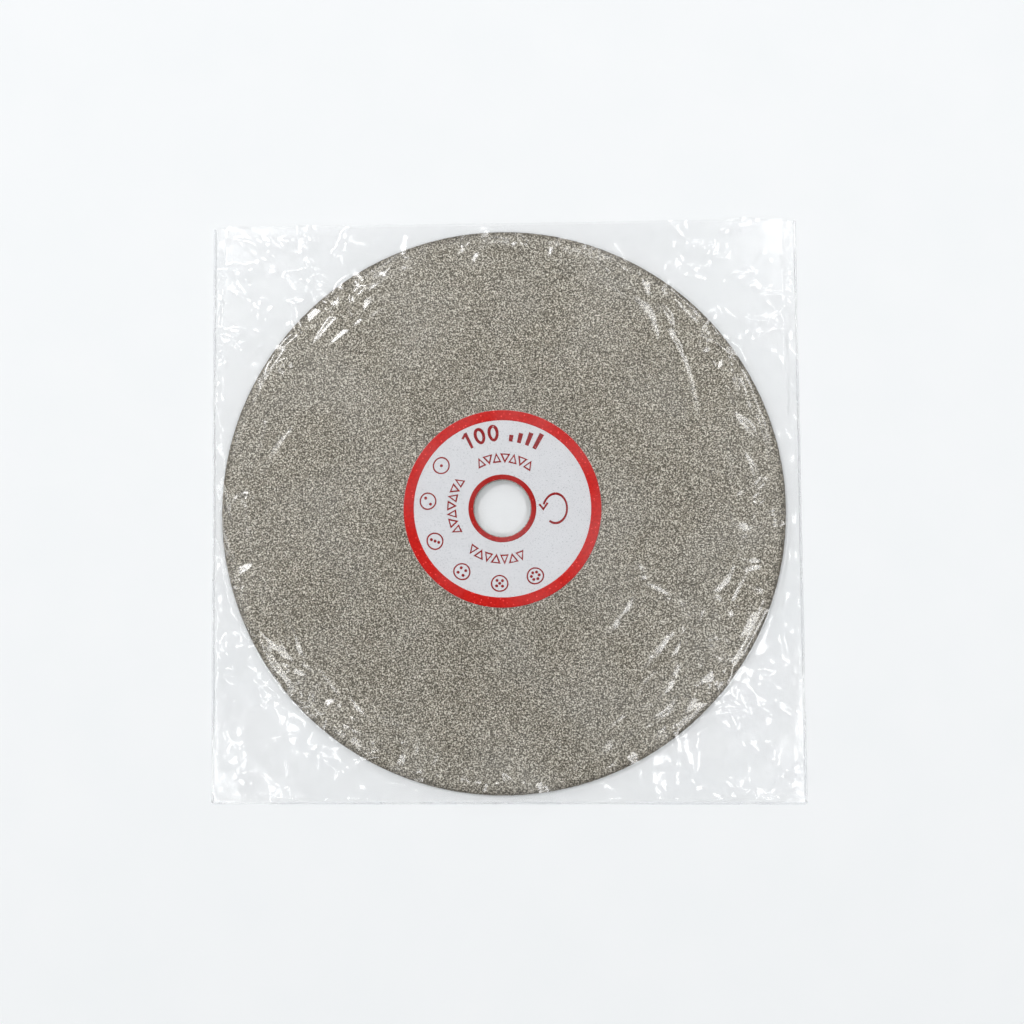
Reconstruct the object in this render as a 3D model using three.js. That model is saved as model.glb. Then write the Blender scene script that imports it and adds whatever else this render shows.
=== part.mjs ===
// Diamond grinding wheel for a flat lapping machine, lying in a clear film sleeve.
// Millimetres, +Z up. The origin is on the wheel's axis, in the plane that the sleeve rests on.
// The coated face looks along +Z. The sleeve's mouth is at +Y and its folded end at -Y.

import * as THREE from 'three';

// Wheel
const DISC_DIAMETER = 200; // over the abrasive coat
const BORE_DIAMETER = 20;
const CORE_THICKNESS = 1.5;
const COAT_THICKNESS = 0.25;
const COAT_SHOULDER_RADIUS = 1.4; // rounded front edge, over the coat
const COAT_SKIRT_LIFT = 0.1; // the coat stops this far above the bare back face
const CORE_BACK_CHAMFER = 0.2;
const LABEL_DIAMETER = 70;
const LABEL_HOLE_DIAMETER = 20.3;
const LABEL_THICKNESS = 0.12;
const BOND_GAP = 0.02; // between layers that are bonded together
const ROUND_STEPS = 96; // facets round the wheel's axis
const SHOULDER_STEPS = 5;

// Sleeve, laid flat
const SLEEVE_WIDTH = 208;
const SLEEVE_LENGTH = 206;
const FILM_THICKNESS = 0.1;
const POCKET_HEIGHT = 4.2; // free height between the two films
const WHEEL_REST_GAP = 0.1; // between the back film and the wheel
const WELD_WIDTH = 1.2; // flat welded edge
const FLANK_WIDTH = 5.3; // the front film comes down to the weld over this width
const SEAM_GAP = 0.02; // between the weld and the back film
const PANEL_GAP = 0.1; // between the front film and its flanks

// Worked out
const DISC_RADIUS = DISC_DIAMETER / 2;
const BORE_RADIUS = BORE_DIAMETER / 2;
const LAYER = COAT_THICKNESS + BOND_GAP;
const BACK_Z = FILM_THICKNESS + WHEEL_REST_GAP;
const CORE_TOP_Z = BACK_Z + CORE_THICKNESS;
const COAT_TOP_Z = CORE_TOP_Z + LAYER;
const LABEL_BOTTOM_Z = COAT_TOP_Z + BOND_GAP;
const FRONT_FILM_Z = FILM_THICKNESS + POCKET_HEIGHT;
const HALF_WIDTH = SLEEVE_WIDTH / 2;
const HALF_LENGTH = SLEEVE_LENGTH / 2;
const FLANK_REACH = WELD_WIDTH + FLANK_WIDTH;

const MATERIALS = {
  steel: new THREE.MeshStandardMaterial({ color: 0xa3a29e, roughness: 0.45, metalness: 0.9 }),
  grit: new THREE.MeshStandardMaterial({ color: 0x958f84, roughness: 0.8, metalness: 0.35 }),
  label: new THREE.MeshStandardMaterial({ color: 0xd3d6da, roughness: 0.55, metalness: 0 }),
};

function filmMaterial() {
  return new THREE.MeshStandardMaterial({
    color: 0xeef3f6,
    roughness: 0.12,
    metalness: 0,
    transparent: true,
    opacity: 0.3,
  });
}

function named(name, geometry, material) {
  const mesh = new THREE.Mesh(geometry, material);
  mesh.name = name;
  return mesh;
}

// Turns a closed [radius, height] outline about the Z axis.
function turned(outline) {
  const points = [...outline, outline[0]].map(([r, z]) => new THREE.Vector2(r, z));
  const geometry = new THREE.LatheGeometry(points, ROUND_STEPS);
  geometry.rotateX(Math.PI / 2);
  return geometry;
}

// The rounded front edge, from the rim up to the face, as [radius, height] points.
function shoulder(outerRadius, topZ, radius) {
  const points = [];
  for (let i = 0; i <= SHOULDER_STEPS; i += 1) {
    const angle = (i / SHOULDER_STEPS) * (Math.PI / 2);
    const r = outerRadius - radius + radius * Math.cos(angle);
    points.push([r, topZ - radius + radius * Math.sin(angle)]);
  }
  return points;
}

// Steel plate with a plain bore, a rounded front edge and a small chamfer at the back.
function steelDisc() {
  const rim = DISC_RADIUS - LAYER;
  return turned([
    [BORE_RADIUS, BACK_Z],
    [rim - CORE_BACK_CHAMFER, BACK_Z],
    [rim, BACK_Z + CORE_BACK_CHAMFER],
    ...shoulder(rim, CORE_TOP_Z, COAT_SHOULDER_RADIUS - LAYER),
    [BORE_RADIUS, CORE_TOP_Z],
  ]);
}

// Nickel-bonded grit over the front face, round the shoulder and down the rim.
function diamondCoat() {
  const inside = DISC_RADIUS - COAT_THICKNESS;
  const skirtZ = BACK_Z + CORE_BACK_CHAMFER + COAT_SKIRT_LIFT;
  const innerShoulder = shoulder(
    inside,
    CORE_TOP_Z + BOND_GAP,
    COAT_SHOULDER_RADIUS - COAT_THICKNESS,
  );
  return turned([
    [inside, skirtZ],
    [DISC_RADIUS, skirtZ],
    ...shoulder(DISC_RADIUS, COAT_TOP_Z, COAT_SHOULDER_RADIUS),
    [BORE_RADIUS, COAT_TOP_Z],
    [BORE_RADIUS, CORE_TOP_Z + BOND_GAP],
    ...innerShoulder.reverse(),
  ]);
}

// Printed ring stuck on the coat around the bore.
function labelRing() {
  const top = LABEL_BOTTOM_Z + LABEL_THICKNESS;
  return turned([
    [LABEL_HOLE_DIAMETER / 2, LABEL_BOTTOM_Z],
    [LABEL_DIAMETER / 2, LABEL_BOTTOM_Z],
    [LABEL_DIAMETER / 2, top],
    [LABEL_HOLE_DIAMETER / 2, top],
  ]);
}

// A flat film between two corners in plan, with its underside at the given height.
function film(xLow, yLow, xHigh, yHigh, z) {
  const geometry = new THREE.BoxGeometry(xHigh - xLow, yHigh - yLow, FILM_THICKNESS);
  geometry.translate((xLow + xHigh) / 2, (yLow + yHigh) / 2, z + FILM_THICKNESS / 2);
  return geometry;
}

// One closed edge: the film comes down from the crest at x = 0 to a flat weld that ends at
// x = FLANK_REACH. The section lies in XZ and runs along +Y for the given length of crest. A
// mitred end slants outwards at 45 degrees, so that two edges meet in a hip at the corner.
function flank(crestLength, { mitredStart = false, mitredEnd = false }) {
  const footZ = FILM_THICKNESS + SEAM_GAP;
  const drop = FRONT_FILM_Z - footZ;
  const upright = FILM_THICKNESS * Math.hypot(1, drop / FLANK_WIDTH);
  const section = new THREE.Shape();
  section.moveTo(0, FRONT_FILM_Z);
  section.lineTo(FLANK_WIDTH, footZ);
  section.lineTo(FLANK_REACH, footZ);
  section.lineTo(FLANK_REACH, footZ + FILM_THICKNESS);
  section.lineTo(FLANK_WIDTH, footZ + upright);
  section.lineTo(0, FRONT_FILM_Z + upright);
  section.closePath();
  const geometry = new THREE.ExtrudeGeometry(section, {
    depth: crestLength,
    steps: 1,
    bevelEnabled: false,
  });
  geometry.rotateX(Math.PI / 2);
  geometry.translate(0, crestLength, 0);

  const position = geometry.attributes.position;
  for (let i = 0; i < position.count; i += 1) {
    const x = position.getX(i);
    const atEnd = position.getY(i) > crestLength / 2;
    if (atEnd && mitredEnd) position.setY(i, crestLength + x);
    if (!atEnd && mitredStart) position.setY(i, -x);
  }
  return geometry;
}

function wheel() {
  const group = new THREE.Group();
  group.add(named('steel_disc', steelDisc(), MATERIALS.steel));
  group.add(named('diamond_coat', diamondCoat(), MATERIALS.grit));
  group.add(named('label_ring', labelRing(), MATERIALS.label));
  return group;
}

function sleeve() {
  const group = new THREE.Group();
  const crestX = HALF_WIDTH - FLANK_REACH;
  const crestY = HALF_LENGTH - FLANK_REACH;
  const panelX = crestX - PANEL_GAP;
  const panelY = crestY - PANEL_GAP;

  const back = film(-HALF_WIDTH, -HALF_LENGTH, HALF_WIDTH, HALF_LENGTH, 0);
  const front = film(-panelX, -panelY, panelX, HALF_LENGTH, FRONT_FILM_Z);
  group.add(named('sleeve_back_film', back, filmMaterial()));
  group.add(named('sleeve_front_film', front, filmMaterial()));

  const sideCrest = HALF_LENGTH + crestY - PANEL_GAP;
  const rightFlank = flank(sideCrest, { mitredStart: true });
  const right = named('sleeve_weld_right', rightFlank, filmMaterial());
  right.position.set(crestX, PANEL_GAP - crestY, 0);
  const leftFlank = flank(sideCrest, { mitredEnd: true });
  const left = named('sleeve_weld_left', leftFlank, filmMaterial());
  left.position.set(-crestX, HALF_LENGTH, 0);
  left.rotation.z = Math.PI;
  const endFlank = flank(2 * panelX, { mitredStart: true, mitredEnd: true });
  const end = named('sleeve_folded_end', endFlank, filmMaterial());
  end.position.set(-panelX, -crestY, 0);
  end.rotation.z = -Math.PI / 2;
  group.add(right, left, end);
  return group;
}

const group = new THREE.Group();
group.add(wheel(), sleeve());

export default group;
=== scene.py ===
"""A diamond grinding wheel lying in its clear film sleeve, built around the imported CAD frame.

Metres, +Z up. The wheel's axis is the Z axis and the sleeve's mouth is at +Y.
"""

import math

import bpy
import numpy as np
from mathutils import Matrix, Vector


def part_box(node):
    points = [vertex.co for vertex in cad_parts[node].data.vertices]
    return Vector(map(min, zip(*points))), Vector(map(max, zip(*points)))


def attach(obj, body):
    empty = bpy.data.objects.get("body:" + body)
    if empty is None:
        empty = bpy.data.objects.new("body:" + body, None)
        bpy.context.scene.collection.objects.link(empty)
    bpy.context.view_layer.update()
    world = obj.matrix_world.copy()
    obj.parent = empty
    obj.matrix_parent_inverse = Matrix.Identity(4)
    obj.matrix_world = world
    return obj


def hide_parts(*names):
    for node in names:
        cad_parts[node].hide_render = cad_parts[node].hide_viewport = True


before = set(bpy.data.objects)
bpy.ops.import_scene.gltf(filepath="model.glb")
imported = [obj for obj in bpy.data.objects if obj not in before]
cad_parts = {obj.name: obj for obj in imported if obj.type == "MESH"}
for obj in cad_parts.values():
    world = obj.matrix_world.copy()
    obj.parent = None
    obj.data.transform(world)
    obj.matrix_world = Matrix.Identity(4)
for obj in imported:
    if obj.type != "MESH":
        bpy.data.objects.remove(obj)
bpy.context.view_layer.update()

MM = 0.001

# The wheel, read from the frame
COAT_LOW, COAT_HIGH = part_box("diamond_coat")
LABEL_LOW, LABEL_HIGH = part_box("label_ring")
DISC_RADIUS = COAT_HIGH.x
COAT_TOP = COAT_HIGH.z
COAT_SKIRT = COAT_LOW.z
LABEL_RADIUS = LABEL_HIGH.x
LABEL_TOP = LABEL_HIGH.z

# The wheel, as the CAD part has it
BORE_RADIUS = 10.0 * MM
LABEL_HOLE_RADIUS = 10.15 * MM
COAT_THICKNESS = 0.25 * MM
COAT_SHOULDER = 1.4 * MM

# Grit
GRIT_SEED = 11
GRAIN_PITCH = 0.68 * MM
GRAIN_RELIEF = 0.07 * MM
BURIED_RELIEF = 0.01 * MM  # under the label
LABEL_RELIEF = 0.018 * MM  # what prints through the label

# Printing on the label
RING_POINTS = 360  # round the paper and the printed rings
RING_STEP = 0.5 * MM
RED_RING_INNER = 31.3 * MM
HOLE_RING_OUTER = 12.0 * MM
INK_MARGIN = 0.05 * MM  # bare paper beside a printed ring
INK_DEPTH = 0.03 * MM
INK_HEIGHT = 0.02 * MM
DIGIT_HEIGHT = 6.0 * MM
DIGIT_STROKE = 1.05 * MM
THIN_STROKE = 0.5 * MM
ARROW_STROKE = 0.7 * MM
STATION_RADIUS = 2.75 * MM
SPOT_REACH = 1.35 * MM  # from the middle of a station mark
SPOT_RADIUS = 0.28 * MM
NUMBER_BASELINE = 23.9 * MM  # distances from the wheel's axis
STATION_BASELINE = 23.4 * MM
TRIANGLE_BASELINE = 16.6 * MM
ARROW_BASELINE = 13.2 * MM
STATION_BEARINGS = (-55, -84.5, -116, -147.5, -178, 154)  # degrees clockwise from +Y

# Sleeve
FILM_WIDTH, FILM_LENGTH = 208 * MM, 206 * MM
FILM_STEP = 1.6 * MM  # the simulated film's mesh
FILM_LIFT = 0.75 * MM  # air between the grit and the film
SLIDE_CLEARANCE = 0.35 * MM  # the film stays this far off the path of the wheel
WELD_HEIGHT = 0.25 * MM
FILM_FOOT = 0.03 * MM  # the back film's height over the floor's plane
BACK_LINES = 150  # the back film's mesh, each way
BEAD_STEPS = 160
BEAD_SIDES = 8
FOLD_COLUMNS, FOLD_ROWS = 160, 9
FOLD_REACH = 0.5 * MM
SUPPORT_HALF = 118 * MM  # the simulation's support, from its middle
SUPPORT_LINES = 130
FILM_SEED, WELD_SEED, FOLD_SEED = 7, 20, 31
SIM_SCALE = 10.0  # the film is simulated this much larger, where Cloth's limits are fine
SIM_FRAMES = 30
FINE_STEP = 0.5 * MM  # the finished film's mesh, within FINE_BAND of the sleeve's edges
FINE_BAND = 50 * MM
COARSE_STEP = 0.95 * MM
FILM_CLOSEST = 0.3 * MM  # the finished film's least height over the grit
RIM_BEND = 95.4 * MM  # the film falls a little towards the rim here
RIM_BEND_WIDTH = 3.0 * MM
RIM_DROP = 0.52 * MM
CORNER_CREASES = 120

# Where the film is rucked over the wheel: degrees clockwise from +Y, radius in mm, spread in
# degrees and number of creases
RIM_PATCHES = (
    (-38, 90, 8, 22),
    (-8, 93, 12, 12),
    (22, 91, 9, 20),
    (56, 90, 12, 17),
    (95, 84, 12, 20),
    (120, 78, 7, 34),
    (140, 87, 9, 26),
    (168, 90, 10, 16),
    (197, 84, 8, 17),
    (226, 88, 12, 26),
    (262, 92, 12, 17),
    (118, 50, 4, 4),
)

# The sleeve's corners as it lies, seen from above
CORNERS = {
    "near_left": (-101.6 * MM, -103.1 * MM),
    "near_right": (105.3 * MM, -102.1 * MM),
    "far_left": (-104.8 * MM, 101.9 * MM),
    "far_right": (105.1 * MM, 103.8 * MM),
}


# ---------------------------------------------------------------- mesh helpers


def mesh_object(name, points, faces, material, smooth=True):
    mesh = bpy.data.meshes.new(name)
    mesh.from_pydata(np.asarray(points).tolist(), [], np.asarray(faces).tolist())
    mesh.polygons.foreach_set("use_smooth", [smooth] * len(mesh.polygons))
    mesh.update()
    if material is not None:
        mesh.materials.append(material)
    piece = bpy.data.objects.new(name, mesh)
    bpy.context.scene.collection.objects.link(piece)
    return piece


def facing_out(points, triangles):
    """The triangles of a closed body, turned if they look inwards."""
    a, b, c = (points[triangles[:, i]] for i in range(3))
    volume = np.einsum("ij,ij->i", a, np.cross(b, c)).sum()
    return triangles if volume > 0 else triangles[:, ::-1]


def ring(radius, z, count, turn=0.0):
    angle = 2 * math.pi * (np.arange(count) + turn) / count
    return np.stack([radius * np.cos(angle), radius * np.sin(angle), np.full(count, z)], 1)


def bridge(start_a, count_a, start_b, count_b):
    """Triangles between two rings. One may have a whole number of times the other's points."""
    if count_b < count_a:
        return bridge(start_b, count_b, start_a, count_a)[:, ::-1]
    share = count_b // count_a
    i = np.arange(count_a)
    first, after = start_a + i, start_a + (i + 1) % count_a
    parts = []
    for j in range(share):
        here = start_b + (share * i + j) % count_b
        there = start_b + (share * i + j + 1) % count_b
        parts.append(np.stack([first, here, there], 1))
    last = start_b + (share * (i + 1)) % count_b
    parts.append(np.stack([first, last, after], 1))
    return np.concatenate(parts)


def lofted(rings):
    """Points and outward triangles of the closed body whose skin runs through the rings and back
    to the first."""
    starts = np.cumsum([0] + [len(r) for r in rings[:-1]])
    parts = []
    for k, here in enumerate(rings):
        after = (k + 1) % len(rings)
        parts.append(bridge(starts[k], len(here), starts[after], len(rings[after])))
    points = np.concatenate(rings)
    return points, facing_out(points, np.concatenate(parts))


def grid_faces(columns, rows):
    """Quads of a grid whose points run along the columns first."""
    i = np.arange(columns * rows).reshape(rows, columns)
    quads = [i[:-1, :-1], i[:-1, 1:], i[1:, 1:], i[1:, :-1]]
    return np.stack([q.ravel() for q in quads], 1)


def spline_weights(f):
    """Uniform B-spline weights of the four values round a place between two of them."""
    return [
        (1 - f) ** 3 / 6,
        (3 * f**3 - 6 * f**2 + 4) / 6,
        (-3 * f**3 + 3 * f**2 + 3 * f + 1) / 6,
        f**3 / 6,
    ]


def resampled(values, v, u):
    """A grid of values with one spare line round it, read smoothly at shares v of its height and u
    of its width."""
    y = 1 + np.asarray(v) * (values.shape[0] - 3)
    x = 1 + np.asarray(u) * (values.shape[1] - 3)
    base_y = np.minimum(np.floor(y).astype(int), values.shape[0] - 3)
    base_x = np.minimum(np.floor(x).astype(int), values.shape[1] - 3)
    result = np.zeros((len(y), len(x)))
    for a, weight_y in enumerate(spline_weights(y - base_y)):
        for b, weight_x in enumerate(spline_weights(x - base_x)):
            part = values[np.ix_(base_y - 1 + a, base_x - 1 + b)]
            result += weight_y[:, None] * weight_x[None, :] * part
    return result


def smooth_noise(v, u, cells, rng):
    """Random heights, mostly from -0.6 to 0.6, smooth over about one cell in each direction."""
    return resampled(rng.uniform(-1, 1, (cells + 3, cells + 3)), v, u)


# ---------------------------------------------------------------- node helpers


class Nodes:
    """A material's node tree, written as calls."""

    def __init__(self, name):
        self.material = bpy.data.materials.new(name)
        self.material.use_nodes = True
        self.tree = self.material.node_tree
        self.tree.nodes.clear()
        self.output = self.tree.nodes.new("ShaderNodeOutputMaterial")

    def add(self, kind, settings=None, **inputs):
        """A node whose inputs are given by name, or by number after an underscore."""
        node = self.tree.nodes.new("ShaderNode" + kind)
        for key, value in (settings or {}).items():
            setattr(node, key, value)
        for key, value in inputs.items():
            numbered = key[0] == "_"
            socket = node.inputs[int(key[1:]) if numbered else key.replace("_", " ")]
            if isinstance(value, bpy.types.NodeSocket):
                self.tree.links.new(value, socket)
            else:
                socket.default_value = value
        return node

    def place(self):
        return self.add("TexCoord").outputs["Object"]

    def radius(self):
        """Distance from the wheel's axis."""
        settings = {"operation": "MULTIPLY"}
        flat = self.add("VectorMath", settings, _0=self.place(), _1=(1.0, 1.0, 0.0))
        return self.add("VectorMath", {"operation": "LENGTH"}, _0=flat.outputs[0]).outputs["Value"]

    def noise(self, pitch, detail=2.0):
        return self.add("TexNoise", Vector=self.place(), Scale=1 / pitch, Detail=detail).outputs[0]

    def cells(self, pitch):
        """Distance from the middle of the nearest cell."""
        return self.add("TexVoronoi", Vector=self.place(), Scale=1 / pitch).outputs["Distance"]

    def ramp(self, value, stops):
        node = self.add("ValToRGB", Fac=value)
        elements = node.color_ramp.elements
        for k, (position, colour) in enumerate(stops):
            element = elements[k] if k < len(elements) else elements.new(position)
            element.position = position
            element.color = (*colour, 1.0)
        return node.outputs[0]

    def spread(self, value, low, high, from_low=0.0, from_high=1.0):
        """The value, moved from its own range to the range from low to high."""
        node = self.add("MapRange", Value=value)
        node.inputs["From Min"].default_value = from_low
        node.inputs["From Max"].default_value = from_high
        node.inputs["To Min"].default_value = low
        node.inputs["To Max"].default_value = high
        return node.outputs[0]

    def mixed(self, share, first, second, blend="MIX"):
        node = self.add("Mix", {"data_type": "RGBA", "blend_type": blend})
        for k, value in ((0, share), (6, first), (7, second)):
            socket = node.inputs[k]
            if isinstance(value, bpy.types.NodeSocket):
                self.tree.links.new(value, socket)
            else:
                socket.default_value = value if isinstance(value, float) else (*value, 1.0)
        return node.outputs[2]

    def bump(self, height, distance, strength):
        return self.add("Bump", Height=height, Distance=distance, Strength=strength).outputs[0]

    def finish(self, shader):
        self.tree.links.new(shader.outputs[0], self.output.inputs[0])
        return self.material


# ---------------------------------------------------------------- materials


def grit_material():
    """Nickel-bonded diamond: pale worn tips and grey nickel, under 1 mm apart, with painted shade
    in the hollows between the grains and painted shade darkening the rim."""
    n = Nodes("nickel_bonded_grit")
    tips = n.noise(0.52 * MM, detail=1.5)
    hollows = n.cells(0.8 * MM)
    speckle = n.ramp(
        tips,
        [
            (0.38, (0.125, 0.115, 0.09)),
            (0.47, (0.32, 0.3, 0.25)),
            (0.55, (0.51, 0.48, 0.41)),
            (0.64, (1.0, 0.98, 0.9)),
        ],
    )
    # painted shade: the colour darkens towards the edges of each grain's cell, where the hollows
    # between grains lie in shade
    shade = n.ramp(hollows, [(0.0, (1.0, 1.0, 1.0)), (0.75, (0.62, 0.6, 0.57))])
    colour = n.mixed(1.0, speckle, shade, "MULTIPLY")
    patches = n.ramp(n.noise(22 * MM, 2.0), [(0.3, (0.96, 0.95, 0.93)), (0.7, (1.07, 1.06, 1.05))])
    colour = n.mixed(1.0, colour, patches, "MULTIPLY")
    # painted shade: the colour darkens over the last 3 mm out to the rim, where the rounded
    # shoulder turns away from the light
    rim_shade_share = n.spread(n.radius(), 0.0, 1.0, DISC_RADIUS - 3.0 * MM, DISC_RADIUS)
    edge = n.ramp(rim_shade_share, [(0.0, (1.0, 1.0, 1.0)), (0.75, (0.55, 0.53, 0.5))])
    colour = n.mixed(1.0, colour, edge, "MULTIPLY")
    rough = n.spread(n.noise(0.5 * MM), 0.38, 0.75, 0.3, 0.7)
    normal = n.bump(n.noise(0.55 * MM, 2.0), 0.12 * MM, 0.8)
    shader = n.add("BsdfPrincipled", Base_Color=colour, Roughness=rough, Normal=normal)
    shader.inputs["Metallic"].default_value = 0.35
    return n.finish(shader)


def steel_material():
    """Bare ground steel with a fine circular lay and a few darker stains."""
    n = Nodes("ground_steel")
    rings = n.add("CombineXYZ", _0=n.radius()).outputs[0]
    lay = n.add("TexNoise", Vector=rings, Scale=1 / (0.35 * MM), Detail=3.0).outputs[0]
    stain = n.noise(16 * MM, 3.0)
    colour = n.ramp(stain, [(0.3, (0.33, 0.32, 0.3)), (0.7, (0.5, 0.49, 0.47))])
    rough = n.spread(lay, 0.3, 0.52, 0.3, 0.7)
    normal = n.bump(lay, 0.01 * MM, 0.6)
    shader = n.add("BsdfPrincipled", Base_Color=colour, Roughness=rough, Normal=normal)
    shader.inputs["Metallic"].default_value = 1.0
    return n.finish(shader)


def paper_material():
    """White label paper, slightly blue, with faint specks and a coated sheen."""
    n = Nodes("label_paper")
    specks = n.ramp(n.noise(0.5 * MM, 3.0), [(0.3, (0.56, 0.58, 0.6)), (0.42, (0.79, 0.8, 0.825))])
    clouds = n.ramp(n.noise(6 * MM, 2.0), [(0.3, (0.96, 0.96, 0.96)), (0.7, (1.0, 1.0, 1.0))])
    colour = n.mixed(1.0, specks, clouds, "MULTIPLY")
    normal = n.bump(n.noise(0.9 * MM, 2.0), 0.02 * MM, 0.7)
    rough = n.spread(n.noise(1.2 * MM), 0.32, 0.48)
    shader = n.add("BsdfPrincipled", Base_Color=colour, Roughness=rough, Normal=normal)
    return n.finish(shader)


def ink_material(name, dark, light):
    """Printed ink: uneven cover, and paler where the grit below has rubbed it."""
    n = Nodes(name)
    cover = n.ramp(n.noise(0.8 * MM, 2.0), [(0.32, dark), (0.62, light)])
    rubbed = tuple(min(1.0, 1.5 * c + 0.06) for c in light)
    rub = n.ramp(n.cells(1.5 * MM), [(0.10, (1.0, 1.0, 1.0)), (0.22, (0.0, 0.0, 0.0))])
    colour = n.mixed(rub, cover, rubbed)
    rough = n.spread(n.noise(1.0 * MM), 0.3, 0.5)
    normal = n.bump(n.noise(0.9 * MM, 2.0), 0.02 * MM, 0.6)
    shader = n.add("BsdfPrincipled", Base_Color=colour, Roughness=rough, Normal=normal)
    shader.inputs["Specular IOR Level"].default_value = 0.12
    return n.finish(shader)


def film_material(name, haze, shine):
    """Clear polythene: it mirrors a little, more at grazing angles, with a sharp and a soft gloss,
    and has a faint milky haze, made patchy as a painted sheen."""
    n = Nodes(name)
    ripple = n.noise(5 * MM, 1.5)
    normal = n.bump(ripple, 0.1 * MM, 0.5)
    facing = n.add("LayerWeight", Blend=0.5, Normal=normal).outputs["Facing"]
    grazing = n.add("Math", {"operation": "POWER"}, _0=facing, _1=5.0).outputs[0]
    mirror = n.spread(grazing, shine, 1.0)
    clear = n.add("BsdfTransparent", Color=(1.0, 1.0, 1.0, 1.0))
    sharp = n.add("BsdfGlossy", Color=(1.0, 1.0, 1.0, 1.0), Roughness=0.18, Normal=normal)
    soft = n.add("BsdfGlossy", Color=(1.0, 1.0, 1.0, 1.0), Roughness=0.3, Normal=normal)
    gloss = n.add("MixShader", _0=0.25, _1=sharp.outputs[0], _2=soft.outputs[0])
    film = n.add("MixShader", _0=mirror, _1=clear.outputs[0], _2=gloss.outputs[0])
    milk = n.add("BsdfDiffuse", Color=(0.93, 0.95, 0.97, 1.0))
    # the film's own faint milkiness, raised in patches by noise as a painted sheen of broad
    # reflections
    milk_and_sheen = n.spread(n.noise(26 * MM, 3.0), 0.1 * haze, 3.4 * haze, 0.42, 0.66)
    return n.finish(n.add("MixShader", _0=milk_and_sheen, _1=film.outputs[0], _2=milk.outputs[0]))


def floor_material():
    """Plain pale paper board."""
    n = Nodes("pale_floor")
    colour = n.ramp(n.noise(30 * MM, 2.0), [(0.3, (0.90, 0.92, 0.93)), (0.7, (0.915, 0.93, 0.94))])
    normal = n.bump(n.noise(0.6 * MM, 2.0), 0.01 * MM, 0.3)
    shader = n.add("BsdfPrincipled", Base_Color=colour, Roughness=0.85, Normal=normal)
    shader.inputs["Specular IOR Level"].default_value = 0.2
    return n.finish(shader)


# ---------------------------------------------------------------- wheel


def ring_count(radius):
    """Points on a ring, so that they stay about one grain apart."""
    if radius < 30 * MM:
        return 256
    return 512 if radius < 60 * MM else 1024


def shoulder_rings(outer, top, radius, steps, count):
    """Rings of the rounded edge, from the face out and down to the rim."""
    rings = []
    for k in range(1, steps + 1):
        angle = math.pi / 2 * (1 - k / steps)
        r = outer - radius + radius * math.cos(angle)
        rings.append(ring(r, top - radius + radius * math.sin(angle), count, 0.5 * (k % 2)))
    return rings


def grit_coat():
    """The coat as a closed layer, rough outside and plain against the steel."""
    rng = np.random.default_rng(GRIT_SEED)
    face_edge = DISC_RADIUS - COAT_SHOULDER
    radii = np.arange(BORE_RADIUS, face_edge, GRAIN_PITCH)
    outside = [ring(r, COAT_TOP, ring_count(r), 0.5 * (k % 2)) for k, r in enumerate(radii)]
    count = ring_count(DISC_RADIUS)
    outside += shoulder_rings(DISC_RADIUS, COAT_TOP, COAT_SHOULDER, 5, count)
    for k, rough_ring in enumerate(outside):
        radius = np.hypot(rough_ring[0, 0], rough_ring[0, 1])
        buried = radius < LABEL_RADIUS - GRAIN_PITCH
        relief = BURIED_RELIEF if buried else GRAIN_RELIEF
        height = rng.uniform(-1, 0.55, len(rough_ring)) * relief
        over = max(0.0, radius - face_edge) / COAT_SHOULDER
        tilt = math.asin(min(1.0, over))
        outward = rough_ring[:, :2] / radius
        shift = 0.28 * GRAIN_PITCH * rng.uniform(-1, 1, (len(rough_ring), 2))
        shift *= 0.0 if k == 0 or over > 0 else 1.0
        rough_ring[:, :2] += outward * (height * math.sin(tilt))[:, None] + shift
        rough_ring[:, 2] += height * math.cos(tilt)
    inner = DISC_RADIUS - COAT_THICKNESS
    below = COAT_TOP - COAT_THICKNESS
    inner_shoulder = shoulder_rings(inner, below, COAT_SHOULDER - COAT_THICKNESS, 4, count)
    skirt = [ring(DISC_RADIUS, COAT_SKIRT, count), ring(inner, COAT_SKIRT, count)]
    back = inner_shoulder[::-1] + [
        ring(face_edge, below, count),
        ring(50 * MM, below, 512),
        ring(BORE_RADIUS, below, 256),
    ]
    points, triangles = lofted(outside + skirt + back)
    coat = mesh_object("grit_coat", points, triangles, grit_material(), smooth=False)
    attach(coat, "wheel")
    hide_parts("diamond_coat")
    return coat


def label_height(x, y):
    """What the grit below prints through the label, at a point on it."""
    waves = np.sin(x / (0.31 * MM) + 2.1 * np.sin(y / (0.9 * MM)))
    waves *= np.sin(y / (0.29 * MM) + 1.7 * np.sin(x / (1.1 * MM)))
    return LABEL_RELIEF * waves


def annulus(name, inner, outer, bottom, top, material):
    """A closed flat ring whose top face follows the label's relief."""
    steps = max(1, round((outer - inner) / RING_STEP))
    radii = np.linspace(inner, outer, steps + 1)
    rings = [ring(r, top, RING_POINTS, 0.5 * (k % 2)) for k, r in enumerate(radii)]
    for band in rings:
        band[:, 2] += label_height(band[:, 0], band[:, 1])
    rings += [ring(outer, bottom, RING_POINTS), ring(inner, bottom, RING_POINTS)]
    points, triangles = lofted(rings)
    return mesh_object(name, points, triangles, material)


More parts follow.
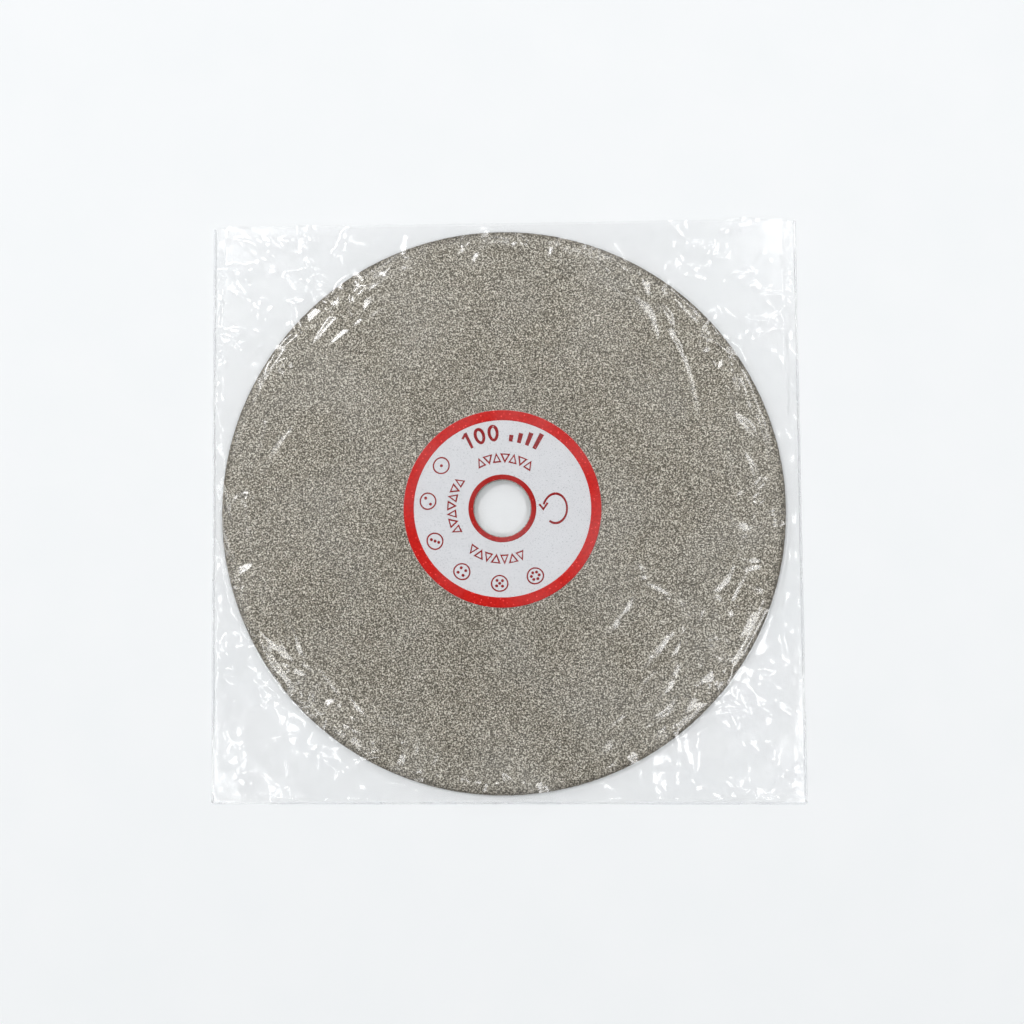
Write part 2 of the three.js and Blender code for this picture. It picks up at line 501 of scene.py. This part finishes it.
def stroke(points, width, closed=False):
    """Quads along a line of the given width, with mitred corners, in two dimensions."""
    line = np.array(points, float)
    ahead = np.roll(line, -1, 0) - line
    ahead /= np.linalg.norm(ahead, axis=1)[:, None]
    behind = np.roll(ahead, 1, 0)
    if not closed:
        ahead[-1] = behind[-1]
        behind[0] = ahead[0]
    across_a = np.stack([-behind[:, 1], behind[:, 0]], 1)
    across_b = np.stack([-ahead[:, 1], ahead[:, 0]], 1)
    mitre = across_a + across_b
    mitre /= np.einsum("ij,ij->i", mitre, across_b)[:, None]
    left, right = line + mitre * width / 2, line - mitre * width / 2
    count = len(line)
    last = count if closed else count - 1
    quads = [[i, (i + 1) % count, (i + 1) % count + count, i + count] for i in range(last)]
    return np.concatenate([right, left]), np.array(quads)


def arc(centre, radii, start, end, steps):
    """Points of an elliptical arc. Angles are in degrees, anticlockwise from +x."""
    angle = np.radians(np.linspace(start, end, steps))
    return np.stack([centre[0] + radii[0] * np.cos(angle), centre[1] + radii[1] * np.sin(angle)], 1)


def join_flat(shapes):
    """One set of points and quads from many."""
    points, quads, start = [], [], 0
    for shape_points, shape_quads in shapes:
        points.append(shape_points)
        quads.append(shape_quads + start)
        start += len(shape_points)
    return np.concatenate(points), np.concatenate(quads)


def on_label(shape, degrees, radius):
    """Bends a flat shape round the label. Degrees run clockwise from +Y, and radius is its
    baseline."""
    points, quads = shape
    bearing = math.radians(degrees) + points[:, 0] / (radius + 2 * MM)
    reach = radius + points[:, 1]
    return np.stack([reach * np.sin(bearing), reach * np.cos(bearing)], 1), quads


def printed(name, shapes, material):
    """Ink on the label, as thin closed solids."""
    flat, quads = join_flat(shapes)
    count = len(flat)
    rise = label_height(flat[:, 0], flat[:, 1])
    low = np.column_stack([flat, LABEL_TOP + rise - INK_DEPTH])
    high = np.column_stack([flat, LABEL_TOP + rise + INK_HEIGHT])
    edges = np.concatenate([quads[:, [i, (i + 1) % 4]] for i in range(4)])
    seen = {tuple(e) for e in edges.tolist()}
    rim = np.array([e for e in edges.tolist() if (e[1], e[0]) not in seen])
    walls = np.column_stack([rim[:, 0], rim[:, 1], rim[:, 1] + count, rim[:, 0] + count])
    faces = np.concatenate([quads[:, ::-1], quads + count, walls])
    piece = mesh_object(name, np.concatenate([low, high]), faces, material, smooth=False)
    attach(piece, "wheel")
    return piece


def digit_zero():
    inset = DIGIT_STROKE / 2
    radii = (1.9 * MM - inset, DIGIT_HEIGHT / 2 - inset)
    ring_points = arc((0, DIGIT_HEIGHT / 2), radii, 0, 345, 24)
    return stroke(ring_points, DIGIT_STROKE, closed=True)


def digit_one():
    inset = DIGIT_STROKE / 2
    flag = [(-1.35 * MM, DIGIT_HEIGHT - 1.55 * MM), (-0.55 * MM, DIGIT_HEIGHT - 0.95 * MM)]
    stem = [(0.25 * MM, 0), (0.25 * MM, DIGIT_HEIGHT)]
    flag.append((0.0, DIGIT_HEIGHT - inset))
    return join_flat([stroke(stem, DIGIT_STROKE), stroke(flag, 0.8 * MM)])


def grade_bar(share):
    """One bar of a coarseness scale."""
    return stroke([(0, 0), (0, DIGIT_HEIGHT * share)], 1.5 * MM)


def triangle_mark(size, up):
    tip, base = (size, 0) if up else (0, size)
    outline = [(-size / 2, base), (size / 2, base), (0, tip)]
    if not up:
        outline.reverse()
    return stroke(outline, THIN_STROKE, closed=True)


def dotted_circle(dots):
    """A circle with a number of dots in it, as a station mark."""
    middle = DIGIT_HEIGHT / 2
    outline = arc((0, middle), (STATION_RADIUS, STATION_RADIUS), 0, 348, 30)
    shapes = [stroke(outline, THIN_STROKE, closed=True)]
    spots = [(0.0, 0.0)] if dots % 2 else []
    pairs = dots // 2
    for k in range(pairs):
        bearing = math.radians(45 + 180 * k / pairs)
        spot = (SPOT_REACH * math.cos(bearing), SPOT_REACH * math.sin(bearing))
        spots += [spot, (-spot[0], -spot[1])]
    for x, y in spots:
        circle = arc((x, middle + y), (SPOT_RADIUS, SPOT_RADIUS), 0, 315, 8)
        shapes.append(stroke(circle, THIN_STROKE, closed=True))
    return join_flat(shapes)


def turning_arrow():
    """An open circle with an arrow head, for the way the wheel turns."""
    body = arc((0, 5.4 * MM), (4.2 * MM, 4.2 * MM), -20, 250, 40)
    head = [(-1.7 * MM, -0.1 * MM), (0.3 * MM, 1.3 * MM), (-1.9 * MM, 2.9 * MM)]
    return join_flat([stroke(body, ARROW_STROKE), stroke(head, ARROW_STROKE)])


def label():
    """The paper ring with its printed rings and marks."""
    inner, outer, bottom = LABEL_HOLE_RADIUS, LABEL_RADIUS, LABEL_LOW.z
    paper = annulus("label_paper", inner, outer, bottom, LABEL_TOP, paper_material())
    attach(paper, "wheel")
    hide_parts("label_ring")

    bright = ink_material("bright_red_ink", (0.54, 0.006, 0.004), (0.66, 0.012, 0.007))
    plain = ink_material("plain_red_ink", (0.38, 0.008, 0.006), (0.47, 0.014, 0.011))
    dark = ink_material("dark_red_ink", (0.25, 0.008, 0.010), (0.33, 0.014, 0.017))
    bands = (
        ("outer_red_band", RED_RING_INNER, LABEL_RADIUS - INK_MARGIN, bright),
        ("inner_red_band", LABEL_HOLE_RADIUS + INK_MARGIN, HOLE_RING_OUTER, plain),
    )
    for name, inner, outer, ink in bands:
        band = annulus(name, inner, outer, LABEL_TOP - INK_DEPTH, LABEL_TOP + INK_HEIGHT, ink)
        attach(band, "wheel")

    digits = [(digit_one(), -27), (digit_zero(), -17.5), (digit_zero(), -7)]
    shapes = [on_label(shape, degrees, NUMBER_BASELINE) for shape, degrees in digits]
    for k in range(4):
        shapes.append(on_label(grade_bar(0.4 + 0.2 * k), 7 + 7 * k, NUMBER_BASELINE))
    printed("grit_number_and_scale", shapes, dark)

    rows = []
    for middle in (3, 187, 273):
        for k in range(7):
            mark = triangle_mark(2.7 * MM, k % 2 == 0)
            rows.append(on_label(mark, middle + 9.5 * (k - 3), TRIANGLE_BASELINE))
    printed("triangle_rows", rows, dark)

    circles = []
    for k, degrees in enumerate(STATION_BEARINGS):
        circles.append(on_label(dotted_circle(k + 1), degrees, STATION_BASELINE))
    printed("station_marks", circles, dark)
    printed("turning_arrow", [on_label(turning_arrow(), 90, ARROW_BASELINE)], dark)


# ---------------------------------------------------------------- sleeve


def outline_point(u, v):
    """The sleeve's place in plan at a share u of its width and v of its length."""
    corners = {name: np.array(place) for name, place in CORNERS.items()}
    u, v = u[..., None], v[..., None]
    near = (1 - u) * corners["near_left"] + u * corners["near_right"]
    far = (1 - u) * corners["far_left"] + u * corners["far_right"]
    return (1 - v) * near + v * far


def ground_height(x, y, lift):
    """The lowest that the front film may lie at a point: over the wheel, clear of its path out of
    the mouth, or on the back film."""
    reach = DISC_RADIUS + SLIDE_CLEARANCE
    radius = np.hypot(x, y)
    in_path = (np.abs(x) < reach) & ((y > 0) | (radius < reach))
    height = np.where(in_path, COAT_TOP + SLIDE_CLEARANCE, 0.18 * MM)
    return np.where(radius < DISC_RADIUS - 0.6 * MM, COAT_TOP + lift, height)


def obstacle():
    """What the front film is laid over, at the simulation's scale."""
    line = np.linspace(-SUPPORT_HALF, SUPPORT_HALF, SUPPORT_LINES)
    x, y = np.meshgrid(line, line)
    points = np.stack([x, y, ground_height(x, y, FILM_LIFT)], -1).reshape(-1, 3) * SIM_SCALE
    piece = mesh_object("film_support", points, grid_faces(SUPPORT_LINES, SUPPORT_LINES), None)
    piece.modifiers.new("collision", "COLLISION")
    piece.collision.thickness_outer = 0.001
    piece.collision.cloth_friction = 3.0
    return piece


def slack(x, y):
    """The film's share of the greatest spare length at a point: 1 in the corners, 0 in the
    middle."""
    radius = np.hypot(x, y) / DISC_RADIUS
    return np.clip((radius - 0.45) / 0.65, 0.0, 1.0) ** 1.5


def settled_film(points, columns, rows):
    """Lays the film over the wheel by cloth simulation and returns its points."""
    support = obstacle()
    film = mesh_object("film_simulation", points * SIM_SCALE, grid_faces(columns, rows), None)
    pinned = film.vertex_groups.new(name="pinned")
    index = np.arange(columns * rows).reshape(rows, columns)
    edge = np.concatenate([index[:, 0], index[:, -1], index[0, :]])
    pinned.add(np.unique(edge).tolist(), 1.0, "REPLACE")
    loose = film.vertex_groups.new(name="loose")
    for i, share in enumerate(slack(points[:, 0], points[:, 1])):
        loose.add([i], float(share), "REPLACE")
    cloth = film.modifiers.new("cloth", "CLOTH")
    settings = cloth.settings
    settings.quality = 5
    settings.mass = 0.08
    settings.tension_stiffness = 60
    settings.compression_stiffness = 60
    settings.shear_stiffness = 30
    settings.bending_stiffness = 0.05
    settings.tension_damping = settings.compression_damping = settings.shear_damping = 20
    settings.air_damping = 4
    settings.vertex_group_mass = "pinned"
    settings.vertex_group_shrink = "loose"
    settings.shrink_min = 0.0
    settings.shrink_max = -0.022
    cloth.collision_settings.collision_quality = 2
    cloth.collision_settings.distance_min = 0.001
    cloth.collision_settings.use_self_collision = False
    cloth.point_cache.frame_start = 1
    cloth.point_cache.frame_end = SIM_FRAMES
    scene = bpy.context.scene
    for step in range(1, SIM_FRAMES + 1):
        scene.frame_set(step)
    shown = film.evaluated_get(bpy.context.evaluated_depsgraph_get())
    result = np.empty(columns * rows * 3)
    shown.data.vertices.foreach_get("co", result)
    scene.frame_set(1)
    for piece in (film, support):
        bpy.data.objects.remove(piece)
    return result.reshape(-1, 3) / SIM_SCALE


def zigzag(t, pitch, slope, rng):
    """Heights of straight folds across t, alternately down and up, at uneven distances."""
    count = int(np.ptp(t) / (0.7 * pitch)) + 6
    folds = t.min() - pitch + np.cumsum(pitch * rng.uniform(0.35, 1.65, count))
    crests = np.arange(count) % 2 * rng.uniform(0.4, 1.3, count)
    return np.interp(t, folds, slope * pitch * crests)


def crumple(x, y, v, u, pitch, slope, rng):
    """Heights of a sheet that is crumpled into facets: folds in several directions, laid over
    each other."""
    cells = round(FILM_WIDTH / (3.5 * pitch))
    warped_x = x + 0.8 * pitch * smooth_noise(v, u, cells, rng)
    warped_y = y + 0.8 * pitch * smooth_noise(v, u, cells, rng)
    height = np.zeros_like(x)
    for degrees in (48, 131, 84, 12):
        bearing = math.radians(degrees)
        t = warped_x * math.cos(bearing) + warped_y * math.sin(bearing)
        height += zigzag(t, pitch * rng.uniform(0.8, 1.3), slope, rng)
    return height - height.mean()


def add_crease(height, x, y, start, bearing, length, width, slope, bow):
    """Raises a tent-shaped crease with a bowed crest and fading ends. Bearing is in radians
    from +X."""
    along = (x - start[0]) * math.cos(bearing) + (y - start[1]) * math.sin(bearing)
    across = (y - start[1]) * math.cos(bearing) - (x - start[0]) * math.sin(bearing)
    share = along / length
    near = (share > 0) & (share < 1) & (np.abs(across) < width + abs(bow) * length)
    share, across = share[near], across[near]
    crest = 4 * bow * length * share * (1 - share)
    half = width * (0.25 + 0.75 * np.sin(math.pi * share))
    profile = 1 - np.sqrt((across - crest) ** 2 + (0.3 * half) ** 2) / half
    ridge = slope * half * np.clip(profile, 0, 1) * np.clip(2.5 * np.sin(math.pi * share), 0, 1)
    height[near] = np.maximum(height[near], ridge)


def corner_creases(x, y, rng):
    """Heights of the creases that fan out from the rim towards each corner of the sleeve, with
    finer ones laid over them."""
    broad, fine = np.zeros_like(x), np.zeros_like(x)
    for corner_x, corner_y in CORNERS.values():
        home = math.atan2(corner_y, corner_x)
        reach = math.hypot(corner_x, corner_y)
        for k in range(CORNER_CREASES):
            is_fine = k % 2 == 1
            bearing = home + rng.normal(0, 0.26)
            radius = rng.uniform(DISC_RADIUS - 2 * MM, reach * 0.95)
            start = (radius * math.cos(bearing), radius * math.sin(bearing))
            way = home + rng.normal(0, 0.9 if is_fine else 0.4)
            length = rng.uniform(10, 36) * MM if is_fine else rng.uniform(14, 44) * MM
            width = rng.uniform(0.9, 1.6) * MM if is_fine else rng.uniform(2.0, 4.2) * MM
            slope = rng.uniform(0.12, 0.42) if is_fine else rng.uniform(0.1, 0.34)
            bow = rng.normal(0, 0.07)
            add_crease(fine if is_fine else broad, x, y, start, way, length, width, slope, bow)
    return broad + fine


def rim_creases(height, x, y, rng):
    """Creases over the wheel, in the patches where the film is rucked."""
    for degrees, radius, spread, count in RIM_PATCHES:
        for _ in range(count):
            bearing = math.radians(degrees + rng.normal(0, spread))
            r = min(radius * MM + rng.normal(0, 4) * MM, DISC_RADIUS - 3 * MM)
            start = (r * math.sin(bearing), r * math.cos(bearing))
            along_rim = rng.uniform() < 0.55
            length = rng.uniform(8, 28) * MM if along_rim else rng.uniform(5, 18) * MM
            turn = length / (2 * r) if along_rim else -math.pi / 2
            way = rng.normal(0, 0.35) - bearing - turn
            bow = rng.normal(0, 0.08) + (turn / 4 if along_rim else 0)
            width = rng.uniform(1.7, 4.6) * MM
            slope = rng.uniform(0.17, 0.34) if along_rim else rng.uniform(0.25, 0.5)
            add_crease(height, x, y, start, way, length, width, slope, bow)


def fine_shares(length):
    """Places of the finished film's grid lines as shares of a side, closer together near its
    ends."""
    band = FINE_BAND / length
    ends = np.linspace(0, band, round(FINE_BAND / FINE_STEP), endpoint=False)
    middle = np.linspace(band, 1 - band, round((length - 2 * FINE_BAND) / COARSE_STEP))
    return np.concatenate([ends, middle, 1 - ends[::-1]])


def finer_film(points, columns, rows):
    """The settled film on a finer mesh, with its creases."""
    grid = points.reshape(rows, columns, 3)
    spare = np.pad(grid, ((1, 1), (1, 1), (0, 0)), mode="reflect", reflect_type="odd")
    u, v = fine_shares(FILM_WIDTH), fine_shares(FILM_LENGTH)
    x, y, z = (resampled(spare[..., k], v, u) for k in range(3))
    rng = np.random.default_rng(FILM_SEED)
    radius = np.hypot(x, y)
    free = np.clip((radius - DISC_RADIUS + 3 * MM) / (8 * MM), 0, 1)
    patchy = np.clip(0.85 + 1.1 * smooth_noise(v, u, 12, rng), 0.35, 1.4)
    facets = crumple(x, y, v, u, 7 * MM, 0.14, rng) + crumple(x, y, v, u, 2.8 * MM, 0.07, rng)
    folds = corner_creases(x, y, rng)
    rim_creases(folds, x, y, rng)
    swell = slack(x, y) * smooth_noise(v, u, 26, rng) * 0.5 * MM
    raised = free * patchy * facets + folds + swell
    from_side = np.minimum(u, 1 - u) * FILM_WIDTH
    inside = np.minimum(from_side[None, :], v[:, None] * FILM_LENGTH)
    z = z + raised * np.clip(inside / (1.6 * MM), 0, 1)
    bend = RIM_BEND + 1.4 * MM * smooth_noise(v, u, 14, rng)
    fall = np.clip((radius - bend) / RIM_BEND_WIDTH, 0, 1)
    z -= RIM_DROP * fall**2 * (3 - 2 * fall)
    floor = np.where(inside > 3.5 * MM, ground_height(x, y, FILM_CLOSEST), 0.1 * MM)
    return np.stack([x, y, np.maximum(z, floor)], -1).reshape(-1, 3), len(u), len(v)


def front_film(material):
    """The film over the wheel: a first lie, settled by the simulation, and then put on the finer
    mesh with its creases."""
    columns = round(FILM_WIDTH / FILM_STEP) + 1
    rows = round(FILM_LENGTH / FILM_STEP) + 1
    across, along = np.linspace(0, 1, columns), np.linspace(0, 1, rows)
    u, v = np.meshgrid(across, along)
    place = outline_point(u, v)
    x, y = place[..., 0], place[..., 1]
    rng = np.random.default_rng(FILM_SEED)
    ripple = 0.6 * smooth_noise(along, across, 16, rng) + 0.5 * smooth_noise(along, across, 34, rng)
    from_side = np.minimum(np.minimum(u, 1 - u) * FILM_WIDTH, v * FILM_LENGTH)
    rise = np.clip(from_side / (4 * MM), 0, 1)
    top = COAT_TOP + FILM_LIFT + 0.6 * MM
    z = WELD_HEIGHT + rise * (top - WELD_HEIGHT + ripple * MM * (0.15 + slack(x, y)))
    points = np.stack([x, y, z], -1).reshape(-1, 3)
    points = settled_film(points, columns, rows)
    points, columns, rows = finer_film(points, columns, rows)
    film = mesh_object("sleeve_front", points, grid_faces(columns, rows), material)
    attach(film, "sleeve")
    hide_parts("sleeve_front_film")
    return film


def back_film(material):
    """The film that the wheel lies on: flat under it, a little creased in the corners."""
    line = np.linspace(0, 1, BACK_LINES)
    u, v = np.meshgrid(line, line)
    place = outline_point(u, v)
    x, y = place[..., 0], place[..., 1]
    rng = np.random.default_rng(FILM_SEED + 1)
    creases = 1 - np.abs(smooth_noise(line, line, 30, rng)) * 2.2
    swell = 0.5 + 0.5 * smooth_noise(line, line, 14, rng)
    free = np.clip((np.hypot(x, y) - DISC_RADIUS) / (6 * MM), 0, 1)
    from_side = np.minimum(np.minimum(u, 1 - u) * FILM_WIDTH, np.minimum(v, 1 - v) * FILM_LENGTH)
    free *= np.clip(from_side / (3 * MM), 0, 1)
    room = np.where(y > 0, 0.1, 0.5) * MM
    z = FILM_FOOT + room * free * np.clip(0.6 * creases + 0.4 * swell, 0, 1)
    points = np.stack([x, y, z], -1).reshape(-1, 3)
    film = mesh_object("sleeve_back", points, grid_faces(BACK_LINES, BACK_LINES), material)
    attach(film, "sleeve")
    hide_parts("sleeve_back_film")
    return film


def weld_bead(name, side, node, material):
    """The melted edge that joins the two films along one side, as a thin uneven bead."""
    v = np.linspace(0, 1, BEAD_STEPS)
    middle = outline_point(np.full(BEAD_STEPS, float(side)), v)
    rng = np.random.default_rng(WELD_SEED + side)
    wide = (0.36 + 0.08 * smooth_noise([0.5], v, 40, rng)[0]) * MM
    high = (0.11 + 0.03 * smooth_noise([0.5], v, 60, rng)[0]) * MM
    lines = []
    for k in range(BEAD_SIDES):
        angle = 2 * math.pi * k / BEAD_SIDES
        x = middle[:, 0] + wide * math.cos(angle)
        z = 0.18 * MM + high * math.sin(angle)
        lines.append(np.stack([x, middle[:, 1], z], 1))
    points = np.stack(lines, 1).reshape(-1, 3)
    i = np.arange(BEAD_SIDES)
    quads = []
    for k in range(BEAD_STEPS - 1):
        a, b = BEAD_SIDES * k + i, BEAD_SIDES * k + (i + 1) % BEAD_SIDES
        quads.append(np.stack([a, b, b + BEAD_SIDES, a + BEAD_SIDES], 1))
    caps = [i[::-1].tolist(), (BEAD_SIDES * (BEAD_STEPS - 1) + i).tolist()]
    faces = np.concatenate(quads).tolist() + caps
    mesh = bpy.data.meshes.new(name)
    mesh.from_pydata(points.tolist(), [], faces)
    mesh.polygons.foreach_set("use_smooth", [True] * len(mesh.polygons))
    mesh.materials.append(material)
    bead = bpy.data.objects.new(name, mesh)
    bpy.context.scene.collection.objects.link(bead)
    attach(bead, "sleeve")
    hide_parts(node)
    return bead


def folded_end(material):
    """The fold that joins the two films at the closed end: a narrow strip bent back on itself."""
    u = np.linspace(0, 1, FOLD_COLUMNS)
    edge = outline_point(u, np.zeros(FOLD_COLUMNS))
    rng = np.random.default_rng(FOLD_SEED)
    loose = 1 + 0.25 * smooth_noise([0.5], u, 20, rng)[0]
    middle, radius = (FILM_FOOT + WELD_HEIGHT) / 2, (WELD_HEIGHT - FILM_FOOT) / 2
    lines = []
    for angle in np.radians(np.linspace(-90, 90, FOLD_ROWS)):
        y = edge[:, 1] - FOLD_REACH * loose * math.cos(angle)
        z = np.full(FOLD_COLUMNS, middle + radius * math.sin(angle))
        lines.append(np.stack([edge[:, 0], y, z], 1))
    points = np.stack(lines, 0).reshape(-1, 3)
    fold = mesh_object("folded_end", points, grid_faces(FOLD_COLUMNS, FOLD_ROWS), material)
    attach(fold, "sleeve")
    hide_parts("sleeve_folded_end")
    return fold


# ---------------------------------------------------------------- studio


def camera():
    """Looks down at the wheel, from a little in front of it and to the right."""
    distance, forward, sideways = 273 * MM, math.radians(3.0), math.radians(0.9)
    aim = Vector((3.4 * MM, -1.3 * MM, COAT_TOP))
    place = aim + distance * Vector((math.sin(sideways), -math.sin(forward), math.cos(forward)))
    data = bpy.data.cameras.new("camera")
    data.sensor_width = 36
    data.lens = 27.2
    data.clip_start = 0.01
    eye = bpy.data.objects.new("camera", data)
    eye.location = place
    eye.rotation_euler = (forward, sideways, 0)
    bpy.context.scene.collection.objects.link(eye)
    bpy.context.scene.camera = eye


def softbox(name, bearing, from_zenith, size, radiance, distance=1.1):
    """A rectangular lamp that looks at the wheel. Bearing is in degrees clockwise from +Y."""
    data = bpy.data.lights.new(name, "AREA")
    data.shape = "RECTANGLE"
    data.size, data.size_y = size
    data.energy = radiance * math.pi * size[0] * size[1]
    lamp = bpy.data.objects.new(name, data)
    bearing, from_zenith = math.radians(bearing), math.radians(from_zenith)
    level = math.sin(from_zenith)
    away = Vector((level * math.sin(bearing), level * math.cos(bearing), math.cos(from_zenith)))
    lamp.location = away * distance
    lamp.rotation_euler = (-away).to_track_quat("-Z", "Y").to_euler()
    bpy.context.scene.collection.objects.link(lamp)


def sky():
    """A pale room: brightest at its horizon, more so at the far left, and dark right above, where
    the photographer stands."""
    world = bpy.data.worlds.new("studio")
    world.use_nodes = True
    nodes, links = world.node_tree.nodes, world.node_tree.links
    direction = nodes.new("ShaderNodeTexCoord").outputs["Generated"]
    split = nodes.new("ShaderNodeSeparateXYZ")
    links.new(direction, split.inputs[0])
    ramp = nodes.new("ShaderNodeValToRGB")
    links.new(split.outputs[2], ramp.inputs[0])
    stops = ((0.2, 1.0), (0.5, 0.7), (0.86, 0.6), (0.94, 0.1))
    for k, (height, level) in enumerate(stops):
        stop = ramp.color_ramp.elements[k] if k < 2 else ramp.color_ramp.elements.new(height)
        stop.position = height
        stop.color = (0.97 * level, 0.985 * level, level, 1.0)
    links.new(ramp.outputs[0], nodes["Background"].inputs[0])
    towards = nodes.new("ShaderNodeVectorMath")
    towards.operation = "DOT_PRODUCT"
    links.new(direction, towards.inputs[0])
    towards.inputs[1].default_value = (-0.6, 0.8, 0.0)
    strength = nodes.new("ShaderNodeMapRange")
    links.new(towards.outputs["Value"], strength.inputs[0])
    strength.inputs["From Min"].default_value = -1.0
    strength.inputs["To Min"].default_value = 0.3
    strength.inputs["To Max"].default_value = 0.46
    links.new(strength.outputs[0], nodes["Background"].inputs[1])
    bpy.context.scene.world = world


def studio():
    """The floor and the lamps. The lamps are the glare in the film, and the floor's light."""
    sky()
    bpy.context.scene.view_settings.view_transform = "Standard"

    side = 3.0
    points = [(-side, -side, 0), (side, -side, 0), (side, side, 0), (-side, side, 0)]
    floor = mesh_object("floor", points, [(0, 1, 2, 3)], floor_material())
    floor.location.z = -0.05 * MM

    softbox("lamp_far_left", -44, 44, (0.51, 0.34), 15.0, 1.6)
    softbox("window_left", -92, 62, (0.70, 0.50), 3.4, 1.6)
    softbox("window_far", 6, 62, (0.70, 0.50), 3.2, 1.6)
    softbox("lamp_far_right", 50, 42, (0.42, 0.28), 6.6)
    softbox("lamp_near_right", 124, 42, (0.40, 0.27), 8.0)
    softbox("lamp_near_left", -128, 43, (0.36, 0.24), 7.0)


grit_coat()
label()
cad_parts["steel_disc"].data.materials[0] = steel_material()
CLEAR = film_material("clear_film", 0.014, 0.07)
BACK = film_material("back_film", 0.014, 0.04)
EDGE = film_material("welded_film", 0.2, 0.07)
front_film(CLEAR)
back_film(BACK)
weld_bead("weld_left", 0, "sleeve_weld_left", EDGE)
weld_bead("weld_right", 1, "sleeve_weld_right", EDGE)
folded_end(EDGE)
camera()
studio()
